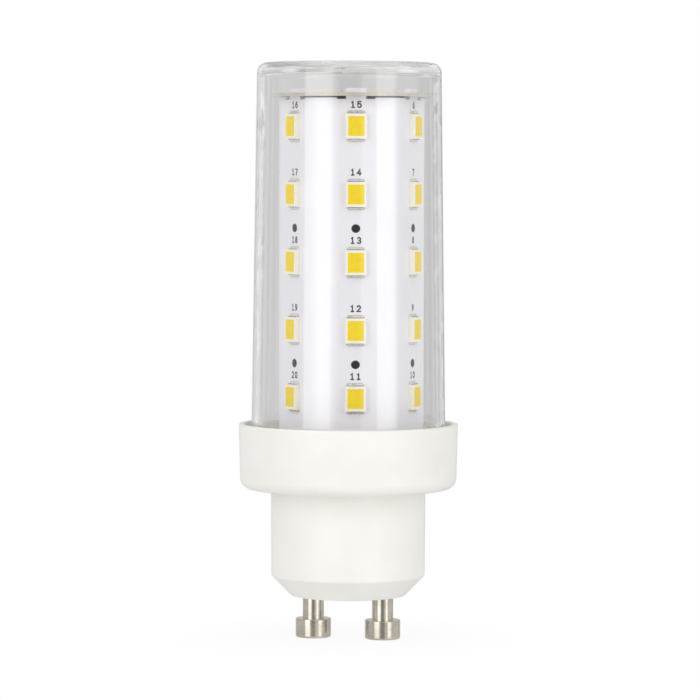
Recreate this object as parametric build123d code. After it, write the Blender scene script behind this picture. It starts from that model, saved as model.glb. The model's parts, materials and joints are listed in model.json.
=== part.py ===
"""LED tube bulb: clear tapered cover, folded LED board, white base with two twist-lock pins.

Millimetres. The lamp stands on its two contact pins. The origin lies midway between the pin
heads, level with their bottom faces, and +Z runs up the lamp's axis. The pins lie along X.
An azimuth of 0 faces -Y, and azimuths grow counter-clockwise seen from above. The LED board
and its two end plates are the light engine, which leans to +X within its play in the cover.
"""
from build123d import *
import os
from math import cos, hypot, pi, radians, sqrt, tan

# Contact pins
pin_pitch = 10.0
pin_head_radius = 2.5
pin_head_height = 2.7
pin_head_rounding = 0.3
pin_edge_rounding = 0.12
pin_shaft_radius = 1.5
pin_shaft_length = 3.4
pin_hole_clearance = 0.02
pin_rivet_radius = 2.1
pin_rivet_height = 0.5
pin_tail_radius = 1.3
pin_tail_height = 0.6
pin_boss_wall = 1.4
pin_boss_height = 2.6
rivet_room = 0.3

# Base housing: floor, neck and collar cup in one moulding
base_floor_wall = 1.6
base_bottom_radius = 8.05
base_bottom_rounding = 0.4
base_bevel_height = 2.85
base_bevel_rounding = 0.3
neck_radius = 10.85
neck_draft = 0.075
neck_length = 12.25
neck_wall = 1.2
neck_collar_fillet = 0.4
collar_draft = 0.225
collar_height = 9.2
collar_fillet = 1.55
collar_wall = 0.83
collar_floor_wall = 1.6
collar_rim_rounding = 0.2
seat_ring_wall = 1.2
seat_ring_height = 3.2
joint_overlap = 0.3

# Clear cover
cover_rim_radius = 13.675
cover_rim_gap = 0.97
cover_draft_angle = 0.79
cover_wall = 1.4
cover_top_wall = 1.6
cover_height = 50.8
cover_corner_radius = 1.4
cover_inner_corner_radius = 0.5
cover_bead_width = 0.6
cover_bead_height = 1.0
cover_bead_drop = 2.4

# Snap lugs inside the collar, which hold the cover down by its bead
lug_count = 4
lug_arc_angle = 20.0
lug_height = 0.9
lug_depth = 0.5
lug_clearance = 0.1

# Folded LED board
board_corner_margin = 0.83
board_corner_radius = 3.2
board_thickness = 0.7
board_seam_gap = 0.4
board_top_gap = 0.2
column_count = 6
first_column_azimuth = 134.5
vent_hole_radius = 0.53
tab_width = 2.7
tab_stand = 0.65
tab_notch_width = 1.2
tab_notch_depth = 0.2

# End plates of the light engine
bottom_plate_thickness = 1.0
bottom_plate_opening_gap = 0.63
top_plate_thickness = 0.45
top_plate_drop = 3.25
plate_play = 0.55
plate_side_gap = 0.1
slot_clearance = 0.1
seam_solder_size = 0.5

# LED chips
leds_per_column = 5
led_pitch = 9.43
led_top_drop = 4.15
led_width = 2.8
led_length = 3.5
led_height = 0.75
led_window_width = 2.2
led_window_length = 2.75
led_pocket_depth = 0.4
led_pocket_slope = 20.0
led_fill_drop = 0.03
solder_width = 2.2
solder_length = 0.35
solder_height = 0.3
solder_toe_height = 0.06

# Driver board and its rails in the housing
driver_thickness = 1.0
driver_shift = 0.2
driver_edge_gap = 0.48
driver_foot_height = 9.5
driver_stem_width = 13.5
driver_foot_gap = 0.4
tongue_width = 4.65
tongue_spacing = 3.0
rail_wall = 1.2
rail_grip = 0.8
rail_height = 9.0
rail_slot_clearance = 0.05
rail_end_clearance = 0.1

# Driver parts, where a part's gap is the bare stretch of board below it
part_lift = 0.15
body_chamfer = 0.2
bridge_width = 4.7
bridge_length = 3.9
bridge_height = 1.6
bridge_gap = 0.85
chip_width = 3.9
chip_length = 4.9
chip_height = 1.45
chip_gap = 3.15
chip_foot_pitch = 1.27
chip_feet_per_side = 4
foot_width = 0.5
foot_length = 0.8
foot_height = 0.3
resistor_width = 3.2
resistor_length = 1.6
resistor_height = 0.6
resistor_gap = 5.2
resistor_pitch = 3.2
resistor_count = 4
fuse_radius = 1.3
fuse_length = 6.5
fuse_rounding = 0.4
fuse_gap = 0.55
film_width = 9.0
film_length = 7.0
film_depth = 4.5
film_rounding = 0.6
film_gap = 1.0
can_radius = 2.5
can_length = 11.0
can_rounding = 0.3
can_groove_height = 1.8
can_groove_radius = 0.3
can_gap = 14.0
coil_radius = 3.0
coil_core_radius = 1.7
coil_winding_radius = 2.6
coil_flange_height = 0.9
coil_height = 5.0
coil_gap = 2.5
lead_radius = 0.25
lead_reach = 1.2
lead_spacing = 2.0

# Input wires
wire_radius = 0.6
wire_length = 3.0
wire_board_gap = 0.15
conductor_radius = 0.4
conductor_clearance = 0.03
wire_bore_depth = 3.0
bend_ratio = 1.25

# Levels along the axis, from the pin heads up
base_bottom_z = pin_head_height + pin_shaft_length
floor_top_z = base_bottom_z + base_floor_wall
boss_top_z = floor_top_z + pin_boss_height
rivet_top_z = boss_top_z + pin_rivet_height
pin_top_z = rivet_top_z + pin_tail_height
bevel_top_z = base_bottom_z + base_bevel_height
collar_bottom_z = bevel_top_z + neck_length
collar_floor_z = collar_bottom_z + collar_floor_wall
collar_top_z = collar_bottom_z + collar_height
bead_top_z = collar_top_z - cover_bead_drop
bead_bottom_z = bead_top_z - cover_bead_height
lug_bottom_z = bead_top_z + lug_clearance
cover_top_z = collar_top_z + cover_height
cover_ceiling_z = cover_top_z - cover_top_wall
bottom_plate_z = collar_floor_z + seat_ring_height
board_bottom_z = bottom_plate_z + bottom_plate_thickness
top_plate_z = cover_ceiling_z - top_plate_drop
top_plate_top_z = top_plate_z + top_plate_thickness
board_top_z = top_plate_z - board_top_gap
tab_top_z = top_plate_top_z + tab_stand
led_top_z = top_plate_z - led_top_drop
driver_bottom_z = pin_top_z + driver_foot_gap

# Radii and places across the axis that follow from the sizes above
neck_top_radius = neck_radius + neck_draft
neck_inner_radius = neck_top_radius - neck_wall
collar_top_radius = cover_rim_radius + cover_rim_gap + collar_wall
collar_radius = collar_top_radius - collar_draft
cover_slope = tan(radians(cover_draft_angle))
top_plate_edge = cover_rim_radius - (top_plate_top_z - collar_top_z) * cover_slope - cover_wall
top_plate_radius = top_plate_edge - plate_play
board_corner_reach = top_plate_radius - board_corner_margin - board_corner_radius
board_apothem = board_corner_reach * cos(pi / column_count) + board_corner_radius
board_inner_apothem = board_apothem - board_thickness
tab_middle = board_apothem - board_thickness / 2
engine_shift = plate_play - plate_side_gap
driver_front_y = wire_radius + wire_board_gap
driver_back_y = driver_front_y + driver_thickness
driver_edge_radius = neck_radius - neck_wall - driver_edge_gap
driver_foot_width = 2 * (sqrt(driver_edge_radius**2 - driver_back_y**2) - driver_shift)
bottom_plate_opening_radius = hypot(driver_stem_width / 2, driver_back_y) + bottom_plate_opening_gap

# Rises of the driver parts' middles, or the can's lower end, above the driver board's lower edge
bridge_rise = bridge_gap + foot_length + bridge_length / 2
fuse_rise = bridge_rise + bridge_length / 2 + foot_length + fuse_gap + fuse_radius
coil_rise = fuse_rise + fuse_radius + coil_gap + coil_radius
resistor_rise = coil_rise + coil_radius + resistor_gap + resistor_length / 2
resistor_row = (resistor_count - 1) * resistor_pitch + resistor_length / 2
chip_rise = resistor_rise + resistor_row + chip_gap + chip_length / 2
film_rise = film_gap + film_length / 2
can_rise = film_rise + film_length / 2 + can_gap


def cover_radius(z):
    """Outer radius of the tapered cover at a height."""
    return cover_rim_radius - (z - collar_top_z) * cover_slope


def cup_radius(z):
    """Inner radius of the collar cup at a height."""
    rise = (z - collar_bottom_z) / collar_height
    return collar_radius + collar_draft * rise - collar_wall


def turned(*points):
    """Solid of revolution from an outline of (radius, z) points."""
    return revolve(Plane.XZ * make_face(Polyline(*points, close=True)), Axis.Z)


def block(low, high):
    """Box between its lowest and its highest corner."""
    size = [b - a for a, b in zip(low, high)]
    middle = [(a + b) / 2 for a, b in zip(low, high)]
    return Pos(*middle) * Box(*size)


def rims(solid, radius, z):
    """Round edges of a solid that have this radius and height."""
    circles = solid.edges().filter_by(GeomType.CIRCLE)
    return [e for e in circles if abs(e.radius - radius) < 0.01 and abs(e.arc_center.Z - z) < 0.01]


def bent_wire(start, corner, end, radius):
    """Round wire from start to end with one bend at the corner."""
    path = FilletPolyline(start, corner, end, radius=radius * bend_ratio)
    section = Plane(origin=path @ 0, z_dir=path % 0) * Circle(radius)
    return sweep(section, path)


def in_engine(shape):
    """A light engine piece, modelled with its first column facing -Y, at its place in the lamp."""
    return Pos(engine_shift, 0, 0) * Rot(0, 0, first_column_azimuth) * shape


def around_columns(shape):
    """Copies of a shape that faces -Y, one for each LED column, from the first column on."""
    step = 360 / column_count
    return [Rot(0, 0, -step * column) * shape for column in range(column_count)]


def led_z(row):
    """Height of the middle of an LED, counted from the lowest row."""
    return led_top_z - (leds_per_column - 1 - row) * led_pitch


def contact_pin(x):
    bore_radius = conductor_radius + conductor_clearance
    bore_z = pin_top_z - wire_bore_depth
    pin = turned(
        (0, 0),
        (pin_head_radius, 0),
        (pin_head_radius, pin_head_height),
        (pin_shaft_radius, pin_head_height),
        (pin_shaft_radius, boss_top_z),
        (pin_rivet_radius, boss_top_z),
        (pin_rivet_radius, rivet_top_z),
        (pin_tail_radius, rivet_top_z),
        (pin_tail_radius, pin_top_z),
        (bore_radius, pin_top_z),
        (bore_radius, bore_z),
        (0, bore_z),
    )
    pin = fillet(rims(pin, pin_head_radius, 0), pin_head_rounding)
    pin = fillet(rims(pin, pin_head_radius, pin_head_height), pin_edge_rounding)
    pin = fillet(rims(pin, pin_rivet_radius, rivet_top_z), pin_edge_rounding)
    return Pos(x, 0, 0) * pin


def housing_envelope():
    """Outside form of the base housing, filled."""
    form = turned(
        (0, base_bottom_z),
        (base_bottom_radius, base_bottom_z),
        (neck_radius, bevel_top_z),
        (neck_top_radius, collar_bottom_z),
        (collar_radius, collar_bottom_z),
        (collar_top_radius, collar_top_z),
        (0, collar_top_z),
    )
    form = fillet(rims(form, base_bottom_radius, base_bottom_z), base_bottom_rounding)
    form = fillet(rims(form, neck_radius, bevel_top_z), base_bevel_rounding)
    form = fillet(rims(form, neck_top_radius, collar_bottom_z), neck_collar_fillet)
    form = fillet(rims(form, collar_radius, collar_bottom_z), collar_fillet)
    return fillet(rims(form, collar_top_radius, collar_top_z), collar_rim_rounding)


def housing_cavity():
    """Inside of the neck and of the collar cup."""
    foot_radius = neck_radius - neck_wall
    foot_z = floor_top_z + foot_radius - base_bottom_radius
    return turned(
        (0, floor_top_z),
        (base_bottom_radius, floor_top_z),
        (foot_radius, foot_z),
        (neck_inner_radius, collar_floor_z),
        (cup_radius(collar_floor_z), collar_floor_z),
        (cup_radius(collar_top_z), collar_top_z),
        (0, collar_top_z),
    )


def seat_ring():
    """Low ring on the cup's floor that carries the light engine's bottom plate."""
    low = collar_floor_z - joint_overlap
    outer = neck_inner_radius + seat_ring_wall
    return turned(
        (neck_inner_radius, low),
        (outer, low),
        (outer, bottom_plate_z),
        (neck_inner_radius, bottom_plate_z),
    )


def snap_lugs():
    """Wedges on the cup's wall, just above the cover's bead."""
    wall = cup_radius(lug_bottom_z)
    outline = Polyline(
        (wall + joint_overlap, lug_bottom_z),
        (wall - lug_depth, lug_bottom_z),
        (wall + joint_overlap, lug_bottom_z + lug_height),
        close=True,
    )
    lug = revolve(Plane.XZ * make_face(outline), Axis.Z, revolution_arc=lug_arc_angle)
    return [Rot(0, 0, 360 / lug_count * n) * lug for n in range(lug_count)]


def rail(side, envelope):
    """Channel that an edge of the driver board stands in, with a stop under it."""
    grip_x = driver_foot_width / 2 - rail_grip
    slot_x = driver_foot_width / 2 + driver_shift + rail_end_clearance
    slot_low_y = driver_front_y - rail_slot_clearance
    slot_high_y = driver_back_y + rail_slot_clearance
    top_z = driver_bottom_z + rail_height
    post_low_x, post_high_x = sorted((side * grip_x, side * (neck_inner_radius + joint_overlap)))
    slot_low_x, slot_high_x = sorted((0, side * slot_x))
    post = block(
        (post_low_x, slot_low_y - rail_wall, floor_top_z - joint_overlap),
        (post_high_x, slot_high_y + rail_wall, top_z),
    )
    slot = block((slot_low_x, slot_low_y, driver_bottom_z), (slot_high_x, slot_high_y, top_z))
    return (post - slot) & envelope


def base_housing():
    envelope = housing_envelope()
    housing = envelope - housing_cavity()
    housing = fillet(rims(housing, cup_radius(collar_top_z), collar_top_z), collar_rim_rounding)
    housing = housing + seat_ring() + snap_lugs()
    pin_places = [Pos(side * pin_pitch / 2, 0, 0) for side in (-1, 1)]
    boss_radius = pin_shaft_radius + pin_boss_wall
    boss = Cylinder(boss_radius, boss_top_z - floor_top_z + joint_overlap, align=Align.CENTER)
    boss = Pos(0, 0, (boss_top_z + floor_top_z - joint_overlap) / 2) * boss
    housing = housing + [place * boss for place in pin_places]
    housing = housing + [rail(side, envelope) for side in (-1, 1)]
    hole_radius = pin_shaft_radius + pin_hole_clearance
    hole = Pos(0, 0, base_bottom_z) * Cylinder(hole_radius, 2 * boss_top_z)
    room = Cylinder(pin_rivet_radius + rivet_room, driver_bottom_z - boss_top_z)
    room = Pos(0, 0, (boss_top_z + driver_bottom_z) / 2) * room
    return housing - [place * cut for place in pin_places for cut in (hole, room)]


def tube_cover():
    bead_radius = cover_radius(bead_bottom_z) + cover_bead_width
    cover = turned(
        (cover_radius(collar_floor_z) - cover_wall, collar_floor_z),
        (cover_radius(collar_floor_z), collar_floor_z),
        (cover_radius(bead_bottom_z), bead_bottom_z),
        (bead_radius, bead_bottom_z),
        (bead_radius, bead_top_z),
        (cover_radius(bead_top_z), bead_top_z),
        (cover_radius(cover_top_z), cover_top_z),
        (0, cover_top_z),
        (0, cover_ceiling_z),
        (cover_radius(cover_ceiling_z) - cover_wall, cover_ceiling_z),
    )
    cover = fillet(rims(cover, cover_radius(cover_top_z), cover_top_z), cover_corner_radius)
    inner_rim = rims(cover, cover_radius(cover_ceiling_z) - cover_wall, cover_ceiling_z)
    return fillet(inner_rim, cover_inner_corner_radius)


def hexagon(apothem, corner_radius):
    """Rounded outline with one flat for each LED column."""
    outline = RegularPolygon(apothem, column_count, major_radius=False)
    return fillet(outline.vertices(), corner_radius)


def tab_block(width, thickness, low_z, high_z):
    """Upright block in the middle of the wall of the column that faces -Y."""
    return block(
        (-width / 2, -tab_middle - thickness / 2, low_z),
        (width / 2, -tab_middle + thickness / 2, high_z),
    )


def led_board():
    outline = hexagon(board_apothem, board_corner_radius)
    outline -= hexagon(board_inner_apothem, board_corner_radius - board_thickness)
    board = Pos(0, 0, board_bottom_z) * extrude(outline, board_top_z - board_bottom_z)
    top_tab = tab_block(tab_width, board_thickness, board_top_z - joint_overlap, tab_top_z)
    bottom_tab = tab_block(tab_width, board_thickness, bottom_plate_z, board_bottom_z + joint_overlap)
    board = board + around_columns(top_tab) + around_columns(bottom_tab)
    notch_z = board_top_z - tab_notch_depth
    notches = tab_block(tab_width + 2 * tab_notch_width, 2 * board_thickness, notch_z, board_top_z)
    notches -= tab_block(tab_width, 3 * board_thickness, notch_z, board_top_z)
    hole = Pos(0, -tab_middle, 0) * Rot(90, 0, 0) * Cylinder(vent_hole_radius, 3 * board_thickness)
    hole_heights = [(led_z(row) + led_z(row + 1)) / 2 for row in range(0, leds_per_column - 1, 2)]
    for notch in around_columns(notches):
        board -= notch
    for z in hole_heights:
        board -= around_columns(Pos(0, 0, z) * hole)
    seam = block((-board_seam_gap / 2, -2 * board_apothem, 0), (board_seam_gap / 2, 0, cover_top_z))
    return in_engine(board - Rot(0, 0, 180 / column_count) * seam)


def plate_disc(radius, low_z, thickness):
    """Round end plate with a slot for the tab of each column."""
    disc = Pos(0, 0, low_z + thickness / 2) * Cylinder(radius, thickness)
    slot = tab_block(
        tab_width + 2 * slot_clearance,
        board_thickness + 2 * slot_clearance,
        low_z - thickness,
        low_z + 2 * thickness,
    )
    return disc - around_columns(slot)


def bottom_plate():
    radius = cover_radius(bottom_plate_z) - cover_wall - plate_play
    plate = plate_disc(radius, bottom_plate_z, bottom_plate_thickness)
    opening = Pos(0, 0, bottom_plate_z) * Cylinder(bottom_plate_opening_radius, 3 * bottom_plate_thickness)
    return in_engine(plate - opening)


def tongue(side, grow=0.0):
    """One of the driver board's two tongues that stand through the top plate."""
    inner_x = tongue_spacing / 2 - grow
    outer_x = tongue_spacing / 2 + tongue_width + grow
    low_x, high_x = sorted((side * inner_x, side * outer_x))
    return block(
        (low_x + driver_shift, driver_front_y - grow, top_plate_z - joint_overlap),
        (high_x + driver_shift, driver_back_y + grow, tab_top_z),
    )


def top_plate():
    plate = in_engine(plate_disc(top_plate_radius, top_plate_z, top_plate_thickness))
    return plate - [tongue(side, slot_clearance) for side in (-1, 1)]


def plate_solder():
    """Solder wedges behind the tabs and the tongues, on the top plate."""
    z = top_plate_top_z
    size = seam_solder_size

    def wedge(y, width):
        outline = Polyline((y, z), (y + size, z), (y, z + size), close=True)
        return extrude(Plane.YZ * make_face(outline), width / 2, both=True)

    joints = [in_engine(joint) for joint in around_columns(wedge(-board_inner_apothem, solder_width))]
    tongue_x = (tongue_spacing + tongue_width) / 2
    for side in (-1, 1):
        joints.append(Pos(side * tongue_x + driver_shift, 0, 0) * wedge(driver_back_y, solder_width))
    return joints


def face_plane(height):
    """Plane that faces -Y at a height above the board's outer face, with its middle on z = 0."""
    return Plane(origin=(0, -board_apothem - height, 0), x_dir=(1, 0, 0), z_dir=(0, -1, 0))


def led_fill(depth):
    """Tapered form that stands in an LED's window, from the pocket's floor up."""
    spread = 2 * led_pocket_depth * tan(radians(led_pocket_slope))
    floor = Rectangle(led_window_width - spread, led_window_length - spread)
    return extrude(face_plane(led_height - led_pocket_depth) * floor, depth, taper=-led_pocket_slope)


def led_body():
    body = extrude(face_plane(0) * Rectangle(led_width, led_length), led_height)
    return body - led_fill(led_pocket_depth)


def led_solder_fillets():
    """Solder wedges at the lower and the upper end of an LED."""
    outline = Polyline(
        (-board_apothem, led_length / 2),
        (-board_apothem, led_length / 2 + solder_length),
        (-board_apothem - solder_toe_height, led_length / 2 + solder_length),
        (-board_apothem - solder_height, led_length / 2),
        close=True,
    )
    upper = extrude(Plane.YZ * make_face(outline), solder_width / 2, both=True)
    return [upper, Rot(0, 180, 0) * upper]


def led_column(shape, column):
    """Copies of an LED piece up one column, counted from the first column."""
    turn = Rot(0, 0, -360 / column_count * column)
    return [in_engine(turn * Pos(0, 0, led_z(row)) * shape) for row in range(leds_per_column)]


def led_solder():
    columns = range(column_count)
    return [s for end in led_solder_fillets() for c in columns for s in led_column(end, c)]


def driver_board():
    foot_half = driver_foot_width / 2
    stem_half = driver_stem_width / 2
    foot = block(
        (driver_shift - foot_half, driver_front_y, driver_bottom_z),
        (driver_shift + foot_half, driver_back_y, driver_bottom_z + driver_foot_height),
    )
    stem = block(
        (driver_shift - stem_half, driver_front_y, driver_bottom_z),
        (driver_shift + stem_half, driver_back_y, top_plate_z),
    )
    return foot + stem + [tongue(side) for side in (-1, 1)]


def on_driver(rise):
    """Place in the middle of the driver board's width, at a rise above its lower edge."""
    return Pos(driver_shift, 0, driver_bottom_z + rise)


def surface_part(width, length, height):
    """Moulded package on the front of the driver board."""
    body = Pos(0, driver_front_y - height / 2, 0) * Box(width, height, length)
    return chamfer(body.faces().sort_by(Axis.Y)[0].edges(), body_chamfer)


def solder_foot(x, z):
    """Flat terminal foot on the front of the driver board."""
    return Pos(x, driver_front_y - foot_height / 2, z)


def bridge_rectifier():
    return on_driver(bridge_rise) * surface_part(bridge_width, bridge_length, bridge_height)


def driver_chip():
    return on_driver(chip_rise) * surface_part(chip_width, chip_length, chip_height)


def chip_resistors():
    body = Box(resistor_width, resistor_height, resistor_length)
    body = Pos(0, driver_front_y - resistor_height / 2, 0) * body
    return [on_driver(resistor_rise + n * resistor_pitch) * body for n in range(resistor_count)]


def fuse_resistor():
    body = Rot(0, 90, 0) * Cylinder(fuse_radius, fuse_length)
    body = fillet(body.edges().filter_by(GeomType.CIRCLE), fuse_rounding)
    return on_driver(fuse_rise) * Pos(0, driver_front_y - part_lift - fuse_radius, 0) * body


def film_capacitor():
    body = Pos(0, driver_back_y + film_depth / 2, 0) * Box(film_width, film_depth, film_length)
    body = fillet(body.faces().sort_by(Axis.Y)[-1].edges(), film_rounding)
    return on_driver(film_rise) * body


def can_axis_y():
    """Distance of the electrolytic capacitor's axis behind the lamp's axis."""
    return driver_back_y + part_lift + can_radius


def electrolytic_capacitor():
    can = Pos(0, 0, can_length / 2) * Cylinder(can_radius, can_length)
    can = fillet(can.edges().filter_by(GeomType.CIRCLE), can_rounding)
    can -= Pos(0, 0, can_groove_height) * Torus(can_radius, can_groove_radius)
    return on_driver(can_rise) * Pos(0, can_axis_y(), 0) * can


def inductor_core():
    flange_inner = coil_height - coil_flange_height
    core = turned(
        (0, 0),
        (coil_radius, 0),
        (coil_radius, coil_flange_height),
        (coil_core_radius, coil_flange_height),
        (coil_core_radius, flange_inner),
        (coil_radius, flange_inner),
        (coil_radius, coil_height),
        (0, coil_height),
    )
    return on_driver(coil_rise) * Pos(0, driver_front_y, 0) * Rot(90, 0, 0) * core


def inductor_winding():
    length = coil_height - 2 * coil_flange_height
    winding = Cylinder(coil_winding_radius, length) - Cylinder(coil_core_radius, length)
    return on_driver(coil_rise) * Pos(0, driver_front_y - coil_height / 2, 0) * Rot(90, 0, 0) * winding


def driver_leads():
    """Terminal feet of the packages and the bent leads of the wired parts."""
    leads = []
    foot_across = Box(foot_length, foot_height, foot_width)
    foot_along = Box(foot_width, foot_height, foot_length)
    for x_side in (-1, 1):
        for z_side in (-1, 1):
            x = x_side * bridge_width / 4
            z = z_side * (bridge_length + foot_length) / 2
            leads.append(on_driver(bridge_rise) * solder_foot(x, z) * foot_along)
        for n in range(chip_feet_per_side):
            x = x_side * (chip_width + foot_length) / 2
            z = (n - (chip_feet_per_side - 1) / 2) * chip_foot_pitch
            leads.append(on_driver(chip_rise) * solder_foot(x, z) * foot_across)
        end_x = x_side * fuse_length / 2
        corner_x = end_x + x_side * lead_reach
        y = driver_front_y - part_lift - fuse_radius
        path = (end_x, y, 0), (corner_x, y, 0), (corner_x, driver_front_y, 0)
        leads.append(on_driver(fuse_rise) * bent_wire(*path, lead_radius))
        x = x_side * lead_spacing / 2
        y = can_axis_y()
        path = (x, y, 0), (x, y, -lead_reach), (x, driver_back_y, -lead_reach)
        leads.append(on_driver(can_rise) * bent_wire(*path, lead_radius))
    return leads


def input_wire(x):
    bore_z = pin_top_z - wire_bore_depth
    bend_z = pin_top_z + wire_length + 2 * bend_ratio * conductor_radius
    conductor = bent_wire((x, 0, bore_z), (x, 0, bend_z), (x, driver_front_y, bend_z), conductor_radius)
    sleeve = Pos(x, 0, pin_top_z + wire_length / 2) * Cylinder(wire_radius, wire_length)
    return conductor + sleeve


def build():
    """Every node of the lamp by name: one solid, or a list of separate solids."""
    nodes = {
        "base_housing": base_housing(),
        "tube_cover": tube_cover(),
        "contact_pin_left": contact_pin(-pin_pitch / 2),
        "contact_pin_right": contact_pin(pin_pitch / 2),
        "bottom_plate": bottom_plate(),
        "led_board": led_board(),
        "top_plate": top_plate(),
        "plate_solder": plate_solder(),
        "led_solder": led_solder(),
        "driver_board": driver_board(),
        "bridge_rectifier": bridge_rectifier(),
        "driver_chip": driver_chip(),
        "chip_resistors": chip_resistors(),
        "fuse_resistor": fuse_resistor(),
        "film_capacitor": film_capacitor(),
        "electrolytic_capacitor": electrolytic_capacitor(),
        "inductor_core": inductor_core(),
        "inductor_winding": inductor_winding(),
        "driver_leads": driver_leads(),
        "input_wire_left": input_wire(-pin_pitch / 2),
        "input_wire_right": input_wire(pin_pitch / 2),
    }
    for column in range(column_count):
        nodes[f"led_body_{column + 1}"] = led_column(led_body(), column)
        fill = led_fill(led_pocket_depth - led_fill_drop)
        nodes[f"led_phosphor_{column + 1}"] = led_column(fill, column)
    return nodes


def write_parts():
    os.makedirs("parts", exist_ok=True)
    for name, shape in build().items():
        if isinstance(shape, list):
            shape = Compound(shape)
        export_step(shape, f"parts/{name}.step")
        print(name, len(shape.solids()), round(shape.volume, 2))


write_parts()
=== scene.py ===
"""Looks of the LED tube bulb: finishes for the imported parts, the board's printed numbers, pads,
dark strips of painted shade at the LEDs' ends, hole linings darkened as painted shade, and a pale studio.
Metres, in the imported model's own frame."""

import json
from math import atan2, cos, pi, radians, sin

import bmesh
import bpy
from mathutils import Matrix, Vector


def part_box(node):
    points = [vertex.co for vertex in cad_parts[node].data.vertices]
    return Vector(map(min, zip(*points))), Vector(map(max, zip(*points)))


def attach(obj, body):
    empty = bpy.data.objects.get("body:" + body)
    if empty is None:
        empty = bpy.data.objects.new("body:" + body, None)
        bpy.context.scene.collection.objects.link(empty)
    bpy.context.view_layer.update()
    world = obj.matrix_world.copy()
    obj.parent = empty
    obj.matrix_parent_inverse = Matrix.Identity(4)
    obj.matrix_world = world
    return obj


mm = 0.001

# Light engine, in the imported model's sizes
column_count = 6
leds_per_column = 5
led_length = 3.5 * mm
led_height = 0.75 * mm
vent_hole_radius = 0.53 * mm
board_thickness = 0.7 * mm

# Printed numbers; the steps are degrees, and mitres stop growing where a joint's cosine gets below a limit
digit_height = 0.78 * mm
digit_pitch = 0.86 * mm
digit_stroke = 0.185 * mm
digit_rise = 1.32 * mm
top_digit_rise = 1.22 * mm
ink_thickness = 0.01 * mm
arc_step = 22.5
cap_step = 30
joint_limit = 0.5

# Dark strips at each LED's ends, painted shade where the body meets the solder, and the solder pads under
# them
shade_strip_width = 2.16 * mm
shade_strip_reach = 0.07 * mm
shade_strip_height = 0.37 * mm
pad_width = 2.36 * mm
pad_reach = 0.4 * mm
pad_overlap = 0.3 * mm
pad_thickness = 0.03 * mm
plate_corner_steps = 3

# Plated lining of each vent hole, whose dark finish is painted shade
lining_wall = 0.04 * mm
lining_lip = 0.07 * mm
lining_steps = 32

# Camera, as in the photograph; angles in degrees
camera_azimuth = 11.5
camera_distance = 530 * mm
camera_height = 66.6 * mm
camera_pitch = 2.79
camera_roll = 0.16
camera_lens = 193.4
camera_sensor = 36.0
camera_near = 10 * mm
lamp_offset = -0.2 * mm

# Softboxes, both aimed at a point on the lamp's axis; edges are the shares of the width that fade out,
# and azimuths are in degrees
softbox_distance = 450 * mm
softbox_height = 520 * mm
softbox_rise = 180 * mm
aim_height = 40 * mm
softboxes = {
    "softbox_left": dict(azimuth=-25.5, width=0.365, power=0.93, edges=(0.14, 0.2)),
    "softbox_right": dict(azimuth=58.5, width=0.28, power=0.62, edges=(0.16, 0.3)),
}

# Light of the room by azimuth in degrees, round from where a radial gradient starts: the lamp's front
# faces 11.5, its back 191.5
room_start = -90
room_light = (
    (-90, 0.66),
    (-40, 0.64),
    (40, 0.74),
    (120, 0.75),
    (150, 0.5),
    (157, 0.75),
    (163, 0.75),
    (168, 0.39),
    (178, 0.42),
    (184, 0.64),
    (200, 0.64),
    (206, 0.56),
    (213, 0.56),
    (218, 0.84),
    (227, 0.84),
    (232, 0.59),
    (250, 0.65),
)
# How much brighter it is from below, and the z of a direction where that starts and where it is full
floor_light = 1.12
floor_light_fade = (-0.1, -0.6)
# Light of the card round the camera, and the degrees off the camera where it starts and where it is full
dark_card_light = 0.3
dark_card_fade = (18, 12)
# Light of the room's front as seen through the cover, and the cosines to the camera where it starts and
# where it is full
through_cover_light = 0.69
through_cover_fade = (-0.4, 0.1)

# Paper under the lamp: how clear it is in the middle, and between which radii it fades out
floor_radius = 32 * mm
floor_steps = 96
floor_clearness = 0.9
floor_fade = (8 * mm, 0.9 * floor_radius)

# Usual range of a noise texture, squares of a laminate's weave, and the number of reflections past which
# a ray counts as caught inside the cover's wall
noise_low = 0.35
noise_high = 0.65
weave_pitch = 0.5 * mm
most_reflections = 2.5

# Plain moulded and coated finishes: light tone, dark tone, size of the clouds, roughness, depth of the skin
plain_finishes = {
    "led_white": ((255, 251, 238), (253, 247, 228), 0.8 * mm, (0.35, 0.5), 0.004 * mm),
    "package_black": ((38, 38, 40), (28, 28, 30), 1.5 * mm, (0.5, 0.65), 0.01 * mm),
    "resistor_black": ((30, 30, 34), (20, 20, 24), 0.8 * mm, (0.25, 0.4), 0.005 * mm),
    "fuse_coat": ((92, 128, 110), (78, 112, 96), 1.2 * mm, (0.3, 0.45), 0.02 * mm),
    "film_case": ((158, 46, 38), (138, 36, 30), 3 * mm, (0.25, 0.4), 0.02 * mm),
    "can_sleeve": ((42, 44, 52), (30, 32, 40), 2 * mm, (0.25, 0.35), 0.01 * mm),
    "ferrite_grey": ((74, 72, 70), (56, 54, 54), 0.6 * mm, (0.5, 0.7), 0.02 * mm),
    "wire_sleeve": ((178, 44, 38), (158, 34, 30), 1.5 * mm, (0.3, 0.45), 0.01 * mm),
    "print_ink": ((14, 13, 15), (24, 22, 24), 0.3 * mm, (0.5, 0.7), 0.003 * mm),
}


def srgb(red, green, blue):
    """Linear colour of a screen colour given in steps of 0 to 255."""
    parts = [c / 255 for c in (red, green, blue)]
    linear = [c / 12.92 if c <= 0.04045 else ((c + 0.055) / 1.055) ** 2.4 for c in parts]
    return (*linear, 1.0)


def outward(azimuth):
    """Level direction of an azimuth, which is 0 towards -Y and grows towards +X."""
    return Vector((sin(azimuth), -cos(azimuth), 0))


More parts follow.
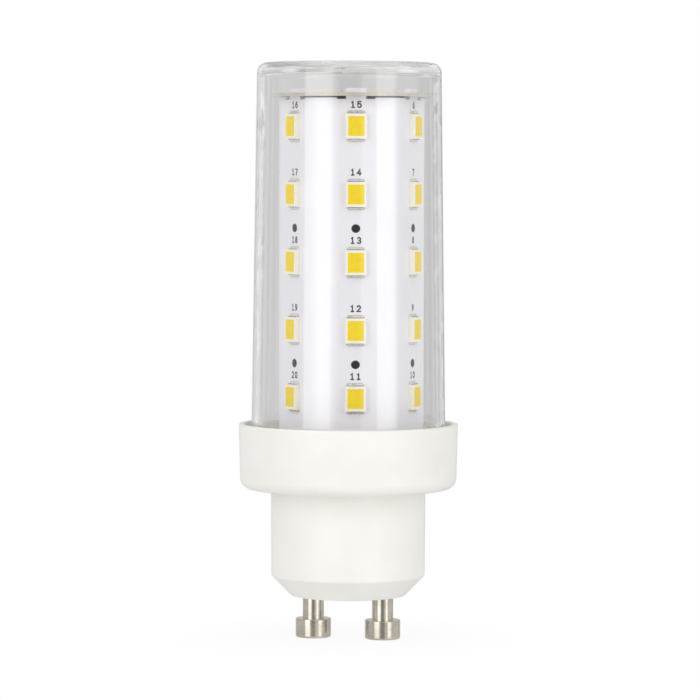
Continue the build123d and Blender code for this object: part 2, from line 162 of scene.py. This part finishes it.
class Nodes:
    """A node tree with the few kinds of nodes that finishes, softboxes and room share."""

    def __init__(self, tree):
        self.tree = tree

    def node(self, kind, **settings):
        made = self.tree.nodes.new(kind)
        for key, value in settings.items():
            setattr(made, key, value)
        return made

    def feed(self, socket, value):
        """Joins a socket to another node's output, or sets it to a plain value."""
        if isinstance(value, bpy.types.NodeSocket):
            self.tree.links.new(value, socket)
        else:
            socket.default_value = value

    def place(self, kind="Object"):
        return self.node("ShaderNodeTexCoord").outputs[kind]

    def axes(self, vector):
        """A vector's outputs X, Y and Z."""
        split = self.node("ShaderNodeSeparateXYZ")
        self.feed(split.inputs["Vector"], vector)
        return split.outputs

    def math(self, operation, *values):
        made = self.node("ShaderNodeMath", operation=operation)
        for socket, value in zip(made.inputs, values):
            self.feed(socket, value)
        return made.outputs["Value"]

    def vector_math(self, operation, *vectors):
        made = self.node("ShaderNodeVectorMath", operation=operation)
        for socket, vector in zip(made.inputs, vectors):
            self.feed(socket, vector)
        return made.outputs["Value"]

    def spread(self, value, low, high, low_in=noise_low, high_in=noise_high, curve="LINEAR"):
        """The range of a value, stretched to run from low to high."""
        made = self.node("ShaderNodeMapRange", interpolation_type=curve)
        self.feed(made.inputs["Value"], value)
        self.feed(made.inputs["From Min"], low_in)
        self.feed(made.inputs["From Max"], high_in)
        self.feed(made.inputs["To Min"], low)
        self.feed(made.inputs["To Max"], high)
        return made.outputs["Result"]


class Finish(Nodes):
    """A Principled material; its sockets are given with _ for each space in their names."""

    def __init__(self, name, **sockets):
        self.material = bpy.data.materials.new(name)
        self.material.use_nodes = True
        super().__init__(self.material.node_tree)
        self.shader = self.tree.nodes["Principled BSDF"]
        for socket, value in sockets.items():
            self.feed(self.shader.inputs[socket.replace("_", " ")], value)

    def noise(self, size, detail=4.0, stretch=(1, 1, 1)):
        """Noise with spots of about a size, made finer along an axis by stretch."""
        mapping = self.node("ShaderNodeMapping")
        self.feed(mapping.inputs["Vector"], self.place())
        self.feed(mapping.inputs["Scale"], [s / size for s in stretch])
        texture = self.node("ShaderNodeTexNoise")
        self.feed(texture.inputs["Vector"], mapping.outputs["Vector"])
        self.feed(texture.inputs["Scale"], 1.0)
        self.feed(texture.inputs["Detail"], detail)
        return texture.outputs["Fac"]

    def weave(self):
        """Height of a plain glass weave, from two crossed waves."""
        axes = self.axes(self.place())
        across, along = [
            self.math("SINE", self.math("MULTIPLY", axes[axis], 2 * pi / weave_pitch))
            for axis in ("X", "Y")
        ]
        return self.math("MULTIPLY_ADD", self.math("MULTIPLY", across, along), 0.5, 0.5)

    def tones(self, share, light, dark):
        """Base colour from a light to a dark screen colour by a share."""
        mix = self.node("ShaderNodeMix", data_type="RGBA")
        self.feed(mix.inputs["Factor"], share)
        # The colour sockets share their names with those of other kinds of data
        first, second = mix.inputs[6:8]
        self.feed(first, srgb(*light))
        self.feed(second, srgb(*dark))
        self.feed(self.shader.inputs["Base Color"], mix.outputs[2])

    def gloss(self, value, low, high):
        self.feed(self.shader.inputs["Roughness"], self.spread(value, low, high))

    def relief(self, height, depth):
        """Bump as deep as depth where the height runs from 0 to 1."""
        bump = self.node("ShaderNodeBump")
        self.feed(bump.inputs["Strength"], 1.0)
        self.feed(bump.inputs["Distance"], depth)
        self.feed(bump.inputs["Height"], height)
        self.feed(self.shader.inputs["Normal"], bump.outputs["Normal"])

    def clear_by(self, share):
        """Lets light straight through by a share."""
        clear = self.node("ShaderNodeBsdfTransparent")
        mix = self.node("ShaderNodeMixShader")
        for socket, source in zip(mix.inputs, (share, self.shader.outputs[0], clear.outputs[0])):
            self.feed(socket, source)
        self.feed(self.tree.nodes["Material Output"].inputs["Surface"], mix.outputs[0])


def moulded(name, light, dark, grain, roughness, depth, **sockets):
    """Moulded or coated matter: two near tones, uneven gloss and a fine skin."""
    finish = Finish(name, **sockets)
    finish.tones(finish.spread(finish.noise(grain, detail=3.0), 0, 1), light, dark)
    finish.gloss(finish.noise(grain / 2), *roughness)
    finish.relief(finish.noise(grain / 20, detail=2.0), depth)
    return finish.material


def housing_white():
    return moulded(
        "housing_white",
        light=(250, 248, 243),
        dark=(246, 244, 238),
        grain=6 * mm,
        roughness=(0.34, 0.46),
        depth=0.004 * mm,
        Subsurface_Weight=0.08,
        Subsurface_Scale=0.8 * mm,
        Subsurface_Radius=(1.0, 0.9, 0.75),
        IOR=1.5,
    )


def cover_clear():
    """Clear polycarbonate: soft light and rays caught inside its wall go straight through."""
    finish = Finish(
        "cover_clear",
        Base_Color=(0.99, 0.995, 0.992, 1.0),
        Transmission_Weight=1.0,
        IOR=1.58,
        Coat_Weight=0.6,
        Coat_IOR=1.6,
        Coat_Roughness=0.02,
    )
    finish.gloss(finish.noise(3 * mm), 0.0, 0.03)
    finish.relief(finish.noise(8 * mm, detail=1.0, stretch=(1, 1, 0.4)), 0.01 * mm)
    path = finish.node("ShaderNodeLightPath").outputs
    trapped = finish.math("GREATER_THAN", path["Glossy Depth"], most_reflections)
    soft = finish.math("MAXIMUM", path["Is Shadow Ray"], path["Is Diffuse Ray"])
    finish.clear_by(finish.math("MAXIMUM", soft, trapped))
    return finish.material


def pin_nickel():
    """Turned and nickel-plated brass, with fine lines round the pin."""
    finish = Finish("pin_nickel", Metallic=1.0)
    finish.tones(finish.spread(finish.noise(1.5 * mm), 0, 1), (214, 208, 196), (196, 189, 176))
    finish.gloss(finish.noise(0.5 * mm, stretch=(0.2, 0.2, 1)), 0.1, 0.2)
    finish.relief(finish.noise(0.12 * mm, detail=3.0, stretch=(0.02, 0.02, 1)), 0.002 * mm)
    return finish.material


def laminate(name, light, dark, **sockets):
    """Glass-fibre board, whose weave shows as faint squares."""
    finish = Finish(name, **sockets)
    threads = finish.weave()
    clouds = finish.spread(finish.noise(2 * mm), 0, 1)
    half_threads = finish.math("MULTIPLY", threads, 0.5)
    finish.tones(finish.math("MULTIPLY_ADD", clouds, 0.5, half_threads), light, dark)
    finish.gloss(finish.noise(1 * mm), 0.32, 0.5)
    finish.relief(threads, 0.008 * mm)
    return finish.material


def driver_laminate():
    return laminate("driver_laminate", light=(236, 233, 224), dark=(222, 218, 206))


def plate_laminate():
    """Lacquered laminate of the two round plates."""
    return laminate(
        "plate_laminate",
        light=(210, 203, 190),
        dark=(190, 180, 163),
        Specular_IOR_Level=1.0,
        Coat_Weight=1.0,
        Coat_IOR=1.8,
        Coat_Roughness=0.22,
    )


def board_white():
    """White solder mask over copper."""
    finish = Finish("board_white", IOR=1.5)
    finish.tones(finish.spread(finish.noise(5 * mm), 0, 1), (246, 244, 249), (243, 241, 247))
    finish.gloss(finish.noise(2 * mm), 0.3, 0.42)
    finish.relief(finish.noise(0.25 * mm, detail=2.0), 0.003 * mm)
    return finish.material


def led_yellow():
    """Silicone with yellow phosphor, cast into the LED's window."""
    return moulded(
        "led_yellow",
        light=(255, 224, 8),
        dark=(255, 216, 4),
        grain=0.6 * mm,
        roughness=(0.3, 0.45),
        depth=0.01 * mm,
        Subsurface_Weight=0.15,
        Subsurface_Scale=0.3 * mm,
        Specular_IOR_Level=0.08,
    )


def solder_tin():
    """Bright solder with traces of brown flux left on it."""
    finish = Finish("solder_tin", Metallic=0.7)
    flux = finish.spread(finish.noise(0.5 * mm), 0, 1, low_in=0.55, high_in=0.75)
    finish.tones(flux, (246, 245, 241), (214, 204, 186))
    finish.gloss(finish.noise(0.3 * mm), 0.25, 0.45)
    finish.relief(finish.noise(0.2 * mm), 0.01 * mm)
    return finish.material


def plated_pad():
    """Tinned copper, dulled by flux."""
    finish = Finish("plated_pad", Metallic=0.6)
    finish.tones(finish.spread(finish.noise(0.4 * mm), 0, 1), (214, 209, 200), (186, 180, 168))
    finish.gloss(finish.noise(0.2 * mm), 0.3, 0.5)
    finish.relief(finish.noise(0.1 * mm), 0.004 * mm)
    return finish.material


def tarnished_copper():
    """Copper-like metal coloured dark as painted shade, for the strips at the LEDs' ends and the vent hole
    linings.
    """
    finish = Finish("tarnished_copper", Metallic=0.5)
    # Painted shade: dark tones for the shade at the LEDs' ends and inside the vent holes
    finish.tones(finish.spread(finish.noise(0.3 * mm), 0, 1), (78, 70, 58), (48, 42, 34))
    finish.gloss(finish.noise(0.2 * mm), 0.35, 0.55)
    finish.relief(finish.noise(0.1 * mm), 0.004 * mm)
    return finish.material


def copper_enamel():
    """Enamelled wire wound round the core, each turn a ridge along Y."""
    finish = Finish("copper_enamel", Metallic=0.6)
    turns = finish.noise(0.18 * mm, detail=0.0, stretch=(0.05, 1, 0.05))
    finish.tones(finish.spread(turns, 0, 1), (190, 98, 48), (122, 54, 24))
    finish.gloss(finish.noise(1 * mm), 0.22, 0.4)
    finish.relief(turns, 0.05 * mm)
    return finish.material


def dress_parts():
    """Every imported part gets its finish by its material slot."""
    finishes = {name: moulded(name, *values) for name, values in plain_finishes.items()}
    finishes.update(
        housing_white=housing_white(),
        cover_clear=cover_clear(),
        pin_nickel=pin_nickel(),
        board_white=board_white(),
        plate_laminate=plate_laminate(),
        driver_laminate=driver_laminate(),
        led_yellow=led_yellow(),
        solder_tin=solder_tin(),
        copper_enamel=copper_enamel(),
    )
    for part in frame["record"]["subparts"]:
        slots = frame["nodes"][part["node"]].data.materials
        slots.clear()
        slots.append(finishes[part["material_slot"]])
    return finishes


def add_object(name, data):
    made = bpy.data.objects.new(name, data)
    bpy.context.scene.collection.objects.link(made)
    return made


def new_piece(name, mesh, material):
    """Adds a mesh as a piece of the lamp that rides on its body."""
    mesh.materials.append(material)
    piece = add_object(name, mesh)
    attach(piece, "root")


class Column:
    """One column of LEDs: its direction, the board's face there and the height of each LED."""

    def __init__(self, number, engine_x):
        low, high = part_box(f"led_body_{number}")
        middle = (low + high) / 2
        arm = Vector((middle.x - engine_x, middle.y, 0))
        self.azimuth = atan2(arm.x, -arm.y)
        self.face = arm.length - led_height / 2
        self.axis = Vector((engine_x, 0, 0))
        step = (high.z - low.z - led_length) / (leds_per_column - 1)
        self.rows = [low.z + led_length / 2 + row * step for row in range(leds_per_column)]

    def on_face(self, z):
        """Frame on the board's face: x to the right, y up and z outwards."""
        place = self.axis + outward(self.azimuth) * self.face
        turn = Matrix.Rotation(self.azimuth, 4, "Z") @ Matrix.Rotation(pi / 2, 4, "X")
        return Matrix.Translation((place.x, place.y, z)) @ turn


def add_mesh(target, mesh, matrix):
    """Adds a placed copy of a mesh to a bmesh."""
    copy = mesh.copy()
    copy.transform(matrix)
    target.from_mesh(copy)
    bpy.data.meshes.remove(copy)


def finished_mesh(name, shape):
    mesh = bpy.data.meshes.new(name)
    shape.to_mesh(mesh)
    shape.free()
    return mesh


def arc(x, y, reach_x, reach_y, start, end):
    """Points along an ellipse round (x, y), from one angle to another in degrees."""
    steps = max(3, round(abs(end - start) / arc_step))
    angles = [radians(start + (end - start) * n / steps) for n in range(steps + 1)]
    return [(x + reach_x * cos(a), y + reach_y * sin(a)) for a in angles]


# Centre lines of each digit's strokes, where a digit is 1 high and has its middle on the origin
digit_strokes = {
    "0": [[(0.29, -0.2)] + arc(0, 0.2, 0.29, 0.3, 0, 180) + arc(0, -0.2, 0.29, 0.3, 180, 360)],
    "1": [[(-0.18, 0.34), (0.0, 0.5), (0.0, -0.5)], [(-0.2, -0.5), (0.22, -0.5)]],
    "2": [arc(0, 0.22, 0.27, 0.28, 165, -35) + [(-0.29, -0.5), (0.3, -0.5)]],
    "3": [arc(0, 0.25, 0.25, 0.25, 150, -90), arc(0, -0.24, 0.29, 0.26, 80, -150)],
    "4": [[(0.12, -0.5), (0.12, 0.5), (-0.31, -0.2), (0.32, -0.2)]],
    "5": [[(0.27, 0.5), (-0.22, 0.5), (-0.26, 0.02)] + arc(0, -0.17, 0.3, 0.33, 125, -150)],
    "6": [arc(0, -0.2, 0.28, 0.3, 100, 460), arc(0.3, -0.15, 0.58, 0.65, 180, 95)],
    "7": [[(-0.29, 0.5), (0.29, 0.5), (-0.08, -0.5)]],
    "8": [arc(0, 0.26, 0.23, 0.24, 90, 450), arc(0, -0.24, 0.29, 0.26, 90, 450)],
    "9": [arc(0, 0.2, 0.28, 0.3, -80, 280), arc(-0.3, 0.15, 0.58, 0.65, 0, -85)],
}


def square_to(along):
    """Flat direction to the left of another."""
    return Vector((-along.y, along.x))


def cap(point, along):
    """Points of the half round end of a stroke, from its left side to its right."""
    across = square_to(along)
    turns = [radians(angle) for angle in range(cap_step, 180, cap_step)]
    return [Vector(point) + (across * cos(a) + along * sin(a)) * digit_stroke / 2 for a in turns]


def add_stroke(target, points, lift):
    """Adds a stroke with round ends and joints: a flat strip with short walls down to the board."""
    lines = [(Vector(b) - Vector(a)).normalized() for a, b in zip(points, points[1:])]
    sides = []
    for index, point in enumerate(points):
        before, after = lines[max(index - 1, 0)], lines[min(index, len(lines) - 1)]
        along = (before + after).normalized()
        reach = square_to(along) * (digit_stroke / 2 / max(joint_limit, along.dot(before)))
        sides.append((Vector(point) + reach, Vector(point) - reach))
    round_end = cap(points[-1], lines[-1])
    round_start = cap(points[0], -lines[0])
    outline = [left for left, right in sides] + round_end
    outline += [right for left, right in reversed(sides)] + round_start
    top = [target.verts.new((p.x, p.y, lift)) for p in outline]
    foot = [target.verts.new((p.x, p.y, -ink_thickness)) for p in outline]
    last_left = len(sides) - 1
    first_right = 2 * len(sides) + len(round_end) - 1
    for left in range(last_left):
        right = first_right - left
        target.faces.new((top[right], top[right - 1], top[left + 1], top[left]))
    target.faces.new(reversed(top[last_left : last_left + len(round_end) + 2]))
    target.faces.new(reversed([*top[first_right:], top[0]]))
    for a in range(len(outline)):
        b = (a + 1) % len(outline)
        target.faces.new((top[a], top[b], foot[b], foot[a]))


def digits_mesh(text):
    """A printed number; each stroke lies a little above the one before, so that none share a face."""
    shape = bmesh.new()
    lift = ink_thickness
    for place, digit in enumerate(text):
        shift = (place - (len(text) - 1) / 2) * digit_pitch
        for line in digit_strokes[digit]:
            points = [(x * digit_height + shift, y * digit_height) for x, y in line]
            add_stroke(shape, points, lift)
            lift += ink_thickness / 4
    bmesh.ops.recalc_face_normals(shape, faces=shape.faces)
    return finished_mesh("digits", shape)


def number_of(column, row):
    """Printed number of an LED: it grows upwards in the first column, downwards in the next, and so on."""
    step = row if column % 2 == 0 else leds_per_column - 1 - row
    return column * leds_per_column + step + 1


def printed_numbers(columns, ink):
    shape = bmesh.new()
    for index, column in enumerate(columns):
        for row, z in enumerate(column.rows):
            rise = top_digit_rise if row == leds_per_column - 1 else digit_rise
            place = column.on_face(z + led_length / 2 + rise)
            add_mesh(shape, digits_mesh(str(number_of(index, row))), place)
    new_piece("led_numbers", finished_mesh("led_numbers", shape), ink)


def plate_mesh(width, length, height):
    """Low block with rounded corners, standing on its own x and y."""
    shape = bmesh.new()
    bmesh.ops.create_cube(shape, size=1.0)
    bmesh.ops.scale(shape, vec=(width, length, height), verts=shape.verts)
    bmesh.ops.translate(shape, vec=(0, 0, height / 2), verts=shape.verts)
    upright = [e for e in shape.edges if abs(e.verts[0].co.z - e.verts[1].co.z) > height / 2]
    rounding = min(width, length) / 5
    bmesh.ops.bevel(
        shape, geom=upright, offset=rounding, segments=plate_corner_steps, affect="EDGES"
    )
    return finished_mesh("plate", shape)


def at_led_ends(name, columns, plate, reach, material):
    """A piece with a copy of a plate at both ends of each LED."""
    shape = bmesh.new()
    for column in columns:
        for z in column.rows:
            for end in (-1, 1):
                add_mesh(shape, plate, column.on_face(z + end * (led_length / 2 + reach)))
    new_piece(name, finished_mesh(name, shape), material)


def solder_pads(columns, material):
    plate = plate_mesh(pad_width, pad_reach + pad_overlap, pad_thickness)
    at_led_ends("led_pads", columns, plate, (pad_reach - pad_overlap) / 2, material)


def led_terminals(columns, material):
    """Dark strips at both ends of each LED, the size of the lead frame's cut ends behind the solder, as
    painted shade where the body meets the solder.
    """
    plate = plate_mesh(shade_strip_width, shade_strip_reach, shade_strip_height)
    at_led_ends("led_terminals", columns, plate, shade_strip_reach / 2, material)


def lining_mesh():
    """Thin tube through the board with a rounded lip at the outer face, turned about its own z."""
    bore = vent_hole_radius - lining_wall
    lip = vent_hole_radius + lining_lip
    outline = [
        (bore, -board_thickness),
        (bore, 0.25 * lining_wall),
        (vent_hole_radius, 0.75 * lining_wall),
        (lip, 0.5 * lining_wall),
        (lip, 0.0),
    ]
    shape = bmesh.new()
    rings = []
    for step in range(lining_steps):
        angle = 2 * pi * step / lining_steps
        rings.append([shape.verts.new((r * cos(angle), r * sin(angle), z)) for r, z in outline])
    for ring, following in zip(rings, rings[1:] + rings[:1]):
        for low in range(len(outline) - 1):
            corners = (ring[low], following[low], following[low + 1], ring[low + 1])
            shape.faces.new(corners).smooth = True
    return finished_mesh("lining", shape)


def hole_linings(columns, material):
    """Linings of the vent holes, which lie between the LEDs of every second gap; their dark finish is
    painted shade of the holes' insides.
    """
    shape = bmesh.new()
    lining = lining_mesh()
    for column in columns:
        for row in range(0, leds_per_column - 1, 2):
            z = (column.rows[row] + column.rows[row + 1]) / 2
            add_mesh(shape, lining, column.on_face(z))
    new_piece("hole_linings", finished_mesh("hole_linings", shape), material)


def set_camera():
    data = bpy.data.cameras.new("camera")
    data.lens = camera_lens
    data.sensor_width = camera_sensor
    data.clip_start = camera_near
    camera = add_object("camera", data)
    azimuth = radians(camera_azimuth)
    right = Vector((cos(azimuth), sin(azimuth), 0))
    camera.location = outward(azimuth) * camera_distance - right * lamp_offset
    camera.location.z = camera_height
    tilt = Matrix.Rotation(pi / 2 - radians(camera_pitch), 4, "X")
    turn = Matrix.Rotation(azimuth, 4, "Z")
    roll = Matrix.Rotation(radians(camera_roll), 4, "Z")
    camera.rotation_euler = (turn @ tilt @ roll).to_euler()
    bpy.context.scene.camera = camera


def light_round_room(room, direction):
    """Brightness by azimuth: the ramp goes once round and ends as it begins."""
    around = room.node("ShaderNodeTexGradient", gradient_type="RADIAL")
    room.feed(around.inputs["Vector"], direction)
    ramp = room.node("ShaderNodeValToRGB")
    room.feed(ramp.inputs["Fac"], around.outputs["Fac"])
    full_turn = (*room_light, (room_start + 360, room_light[0][1]))
    stops = ramp.color_ramp.elements
    while len(stops) < len(full_turn):
        stops.new(0.5)
    for stop, (azimuth, light) in zip(stops, full_turn):
        stop.position = (azimuth - room_start) / 360
        stop.color = (light, light, light, 1)
    return ramp.outputs["Color"]


def light_room():
    """A white room of uneven brightness, with a dark card round the camera."""
    world = bpy.data.worlds.new("room")
    world.use_nodes = True
    bpy.context.scene.world = world
    room = Nodes(world.node_tree)
    background = room.tree.nodes["Background"]
    room.feed(background.inputs["Color"], (1, 1, 1, 1))
    path = room.node("ShaderNodeLightPath").outputs
    direction = room.place("Generated")
    below = room.spread(room.axes(direction)["Z"], 1.0, floor_light, *floor_light_fade)
    walls = room.math("MULTIPLY", light_round_room(room, direction), below)
    facing = room.vector_math("DOT_PRODUCT", direction, outward(radians(camera_azimuth)))
    card_edges = [cos(radians(angle)) for angle in dark_card_fade]
    card = room.spread(facing, walls, dark_card_light, *card_edges, curve="SMOOTHSTEP")
    front = room.spread(facing, 1.0, through_cover_light, *through_cover_fade)
    through = room.spread(path["Is Transmission Ray"], 1.0, front, 0, 1)
    light = room.math("MULTIPLY", card, through)
    room.feed(background.inputs["Strength"], room.spread(path["Is Camera Ray"], light, 1.0, 0, 1))


def pale_floor():
    """Disc of white paper under the lamp that fades out into the white room round it."""
    shape = bmesh.new()
    bmesh.ops.create_circle(shape, cap_ends=True, segments=floor_steps, radius=floor_radius)
    mesh = finished_mesh("floor", shape)
    finish = Finish("floor_paper", Roughness=0.8)
    finish.tones(finish.noise(2 * mm), (250, 250, 249), (246, 246, 245))
    out = finish.vector_math("LENGTH", finish.place())
    finish.clear_by(finish.spread(out, floor_clearness, 1.0, *floor_fade))
    mesh.materials.append(finish.material)
    floor = add_object("floor", mesh)


def soft_edges(light, left_edge, right_edge):
    """Lets a light fade towards its two upright edges, over these shares of its width."""
    light.use_nodes = True
    nodes = Nodes(light.node_tree)
    across = nodes.axes(nodes.node("ShaderNodeNewGeometry").outputs["Parametric"])["X"]
    left = nodes.spread(across, 0, 1, 0, left_edge, curve="SMOOTHSTEP")
    right = nodes.spread(across, 0, 1, 1, 1 - right_edge, curve="SMOOTHSTEP")
    emission = nodes.tree.nodes["Emission"]
    nodes.feed(emission.inputs["Strength"], nodes.math("MULTIPLY", left, right))


def softbox(name, azimuth, width, power, edges):
    """Upright area light that faces the lamp and doesn't show through its cover."""
    light = bpy.data.lights.new(name, "AREA")
    light.shape = "RECTANGLE"
    light.size = width
    light.size_y = softbox_height
    light.energy = power
    soft_edges(light, *edges)
    lamp = add_object(name, light)
    lamp.location = outward(radians(azimuth)) * softbox_distance + Vector((0, 0, softbox_rise))
    aim = Vector((0, 0, aim_height)) - lamp.location
    lamp.rotation_euler = aim.to_track_quat("-Z", "Y").to_euler()
    lamp.visible_camera = False
    lamp.visible_transmission = False


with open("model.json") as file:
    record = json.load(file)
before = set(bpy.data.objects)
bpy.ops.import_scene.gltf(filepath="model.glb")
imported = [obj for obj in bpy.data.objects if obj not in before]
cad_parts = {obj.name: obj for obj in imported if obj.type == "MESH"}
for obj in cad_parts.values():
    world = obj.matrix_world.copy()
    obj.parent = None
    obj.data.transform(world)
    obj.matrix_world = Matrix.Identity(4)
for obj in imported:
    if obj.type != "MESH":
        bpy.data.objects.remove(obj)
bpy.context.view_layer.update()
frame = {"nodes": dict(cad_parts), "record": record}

plate_low, plate_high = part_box("top_plate")
engine_x = (plate_low.x + plate_high.x) / 2
columns = [Column(number + 1, engine_x) for number in range(column_count)]

finishes = dress_parts()
# Dark metal whose colour is painted shade
painted_shade_metal = tarnished_copper()
printed_numbers(columns, finishes["print_ink"])
solder_pads(columns, plated_pad())
# Painted shade: dark strips where each LED's body meets its solder
led_terminals(columns, painted_shade_metal)
# Plated hole linings, darkened as painted shade of the holes' insides
hole_linings(columns, painted_shade_metal)

set_camera()
light_room()
pale_floor()
for name, settings in softboxes.items():
    softbox(name, **settings)
bpy.context.scene.view_settings.view_transform = "Standard"
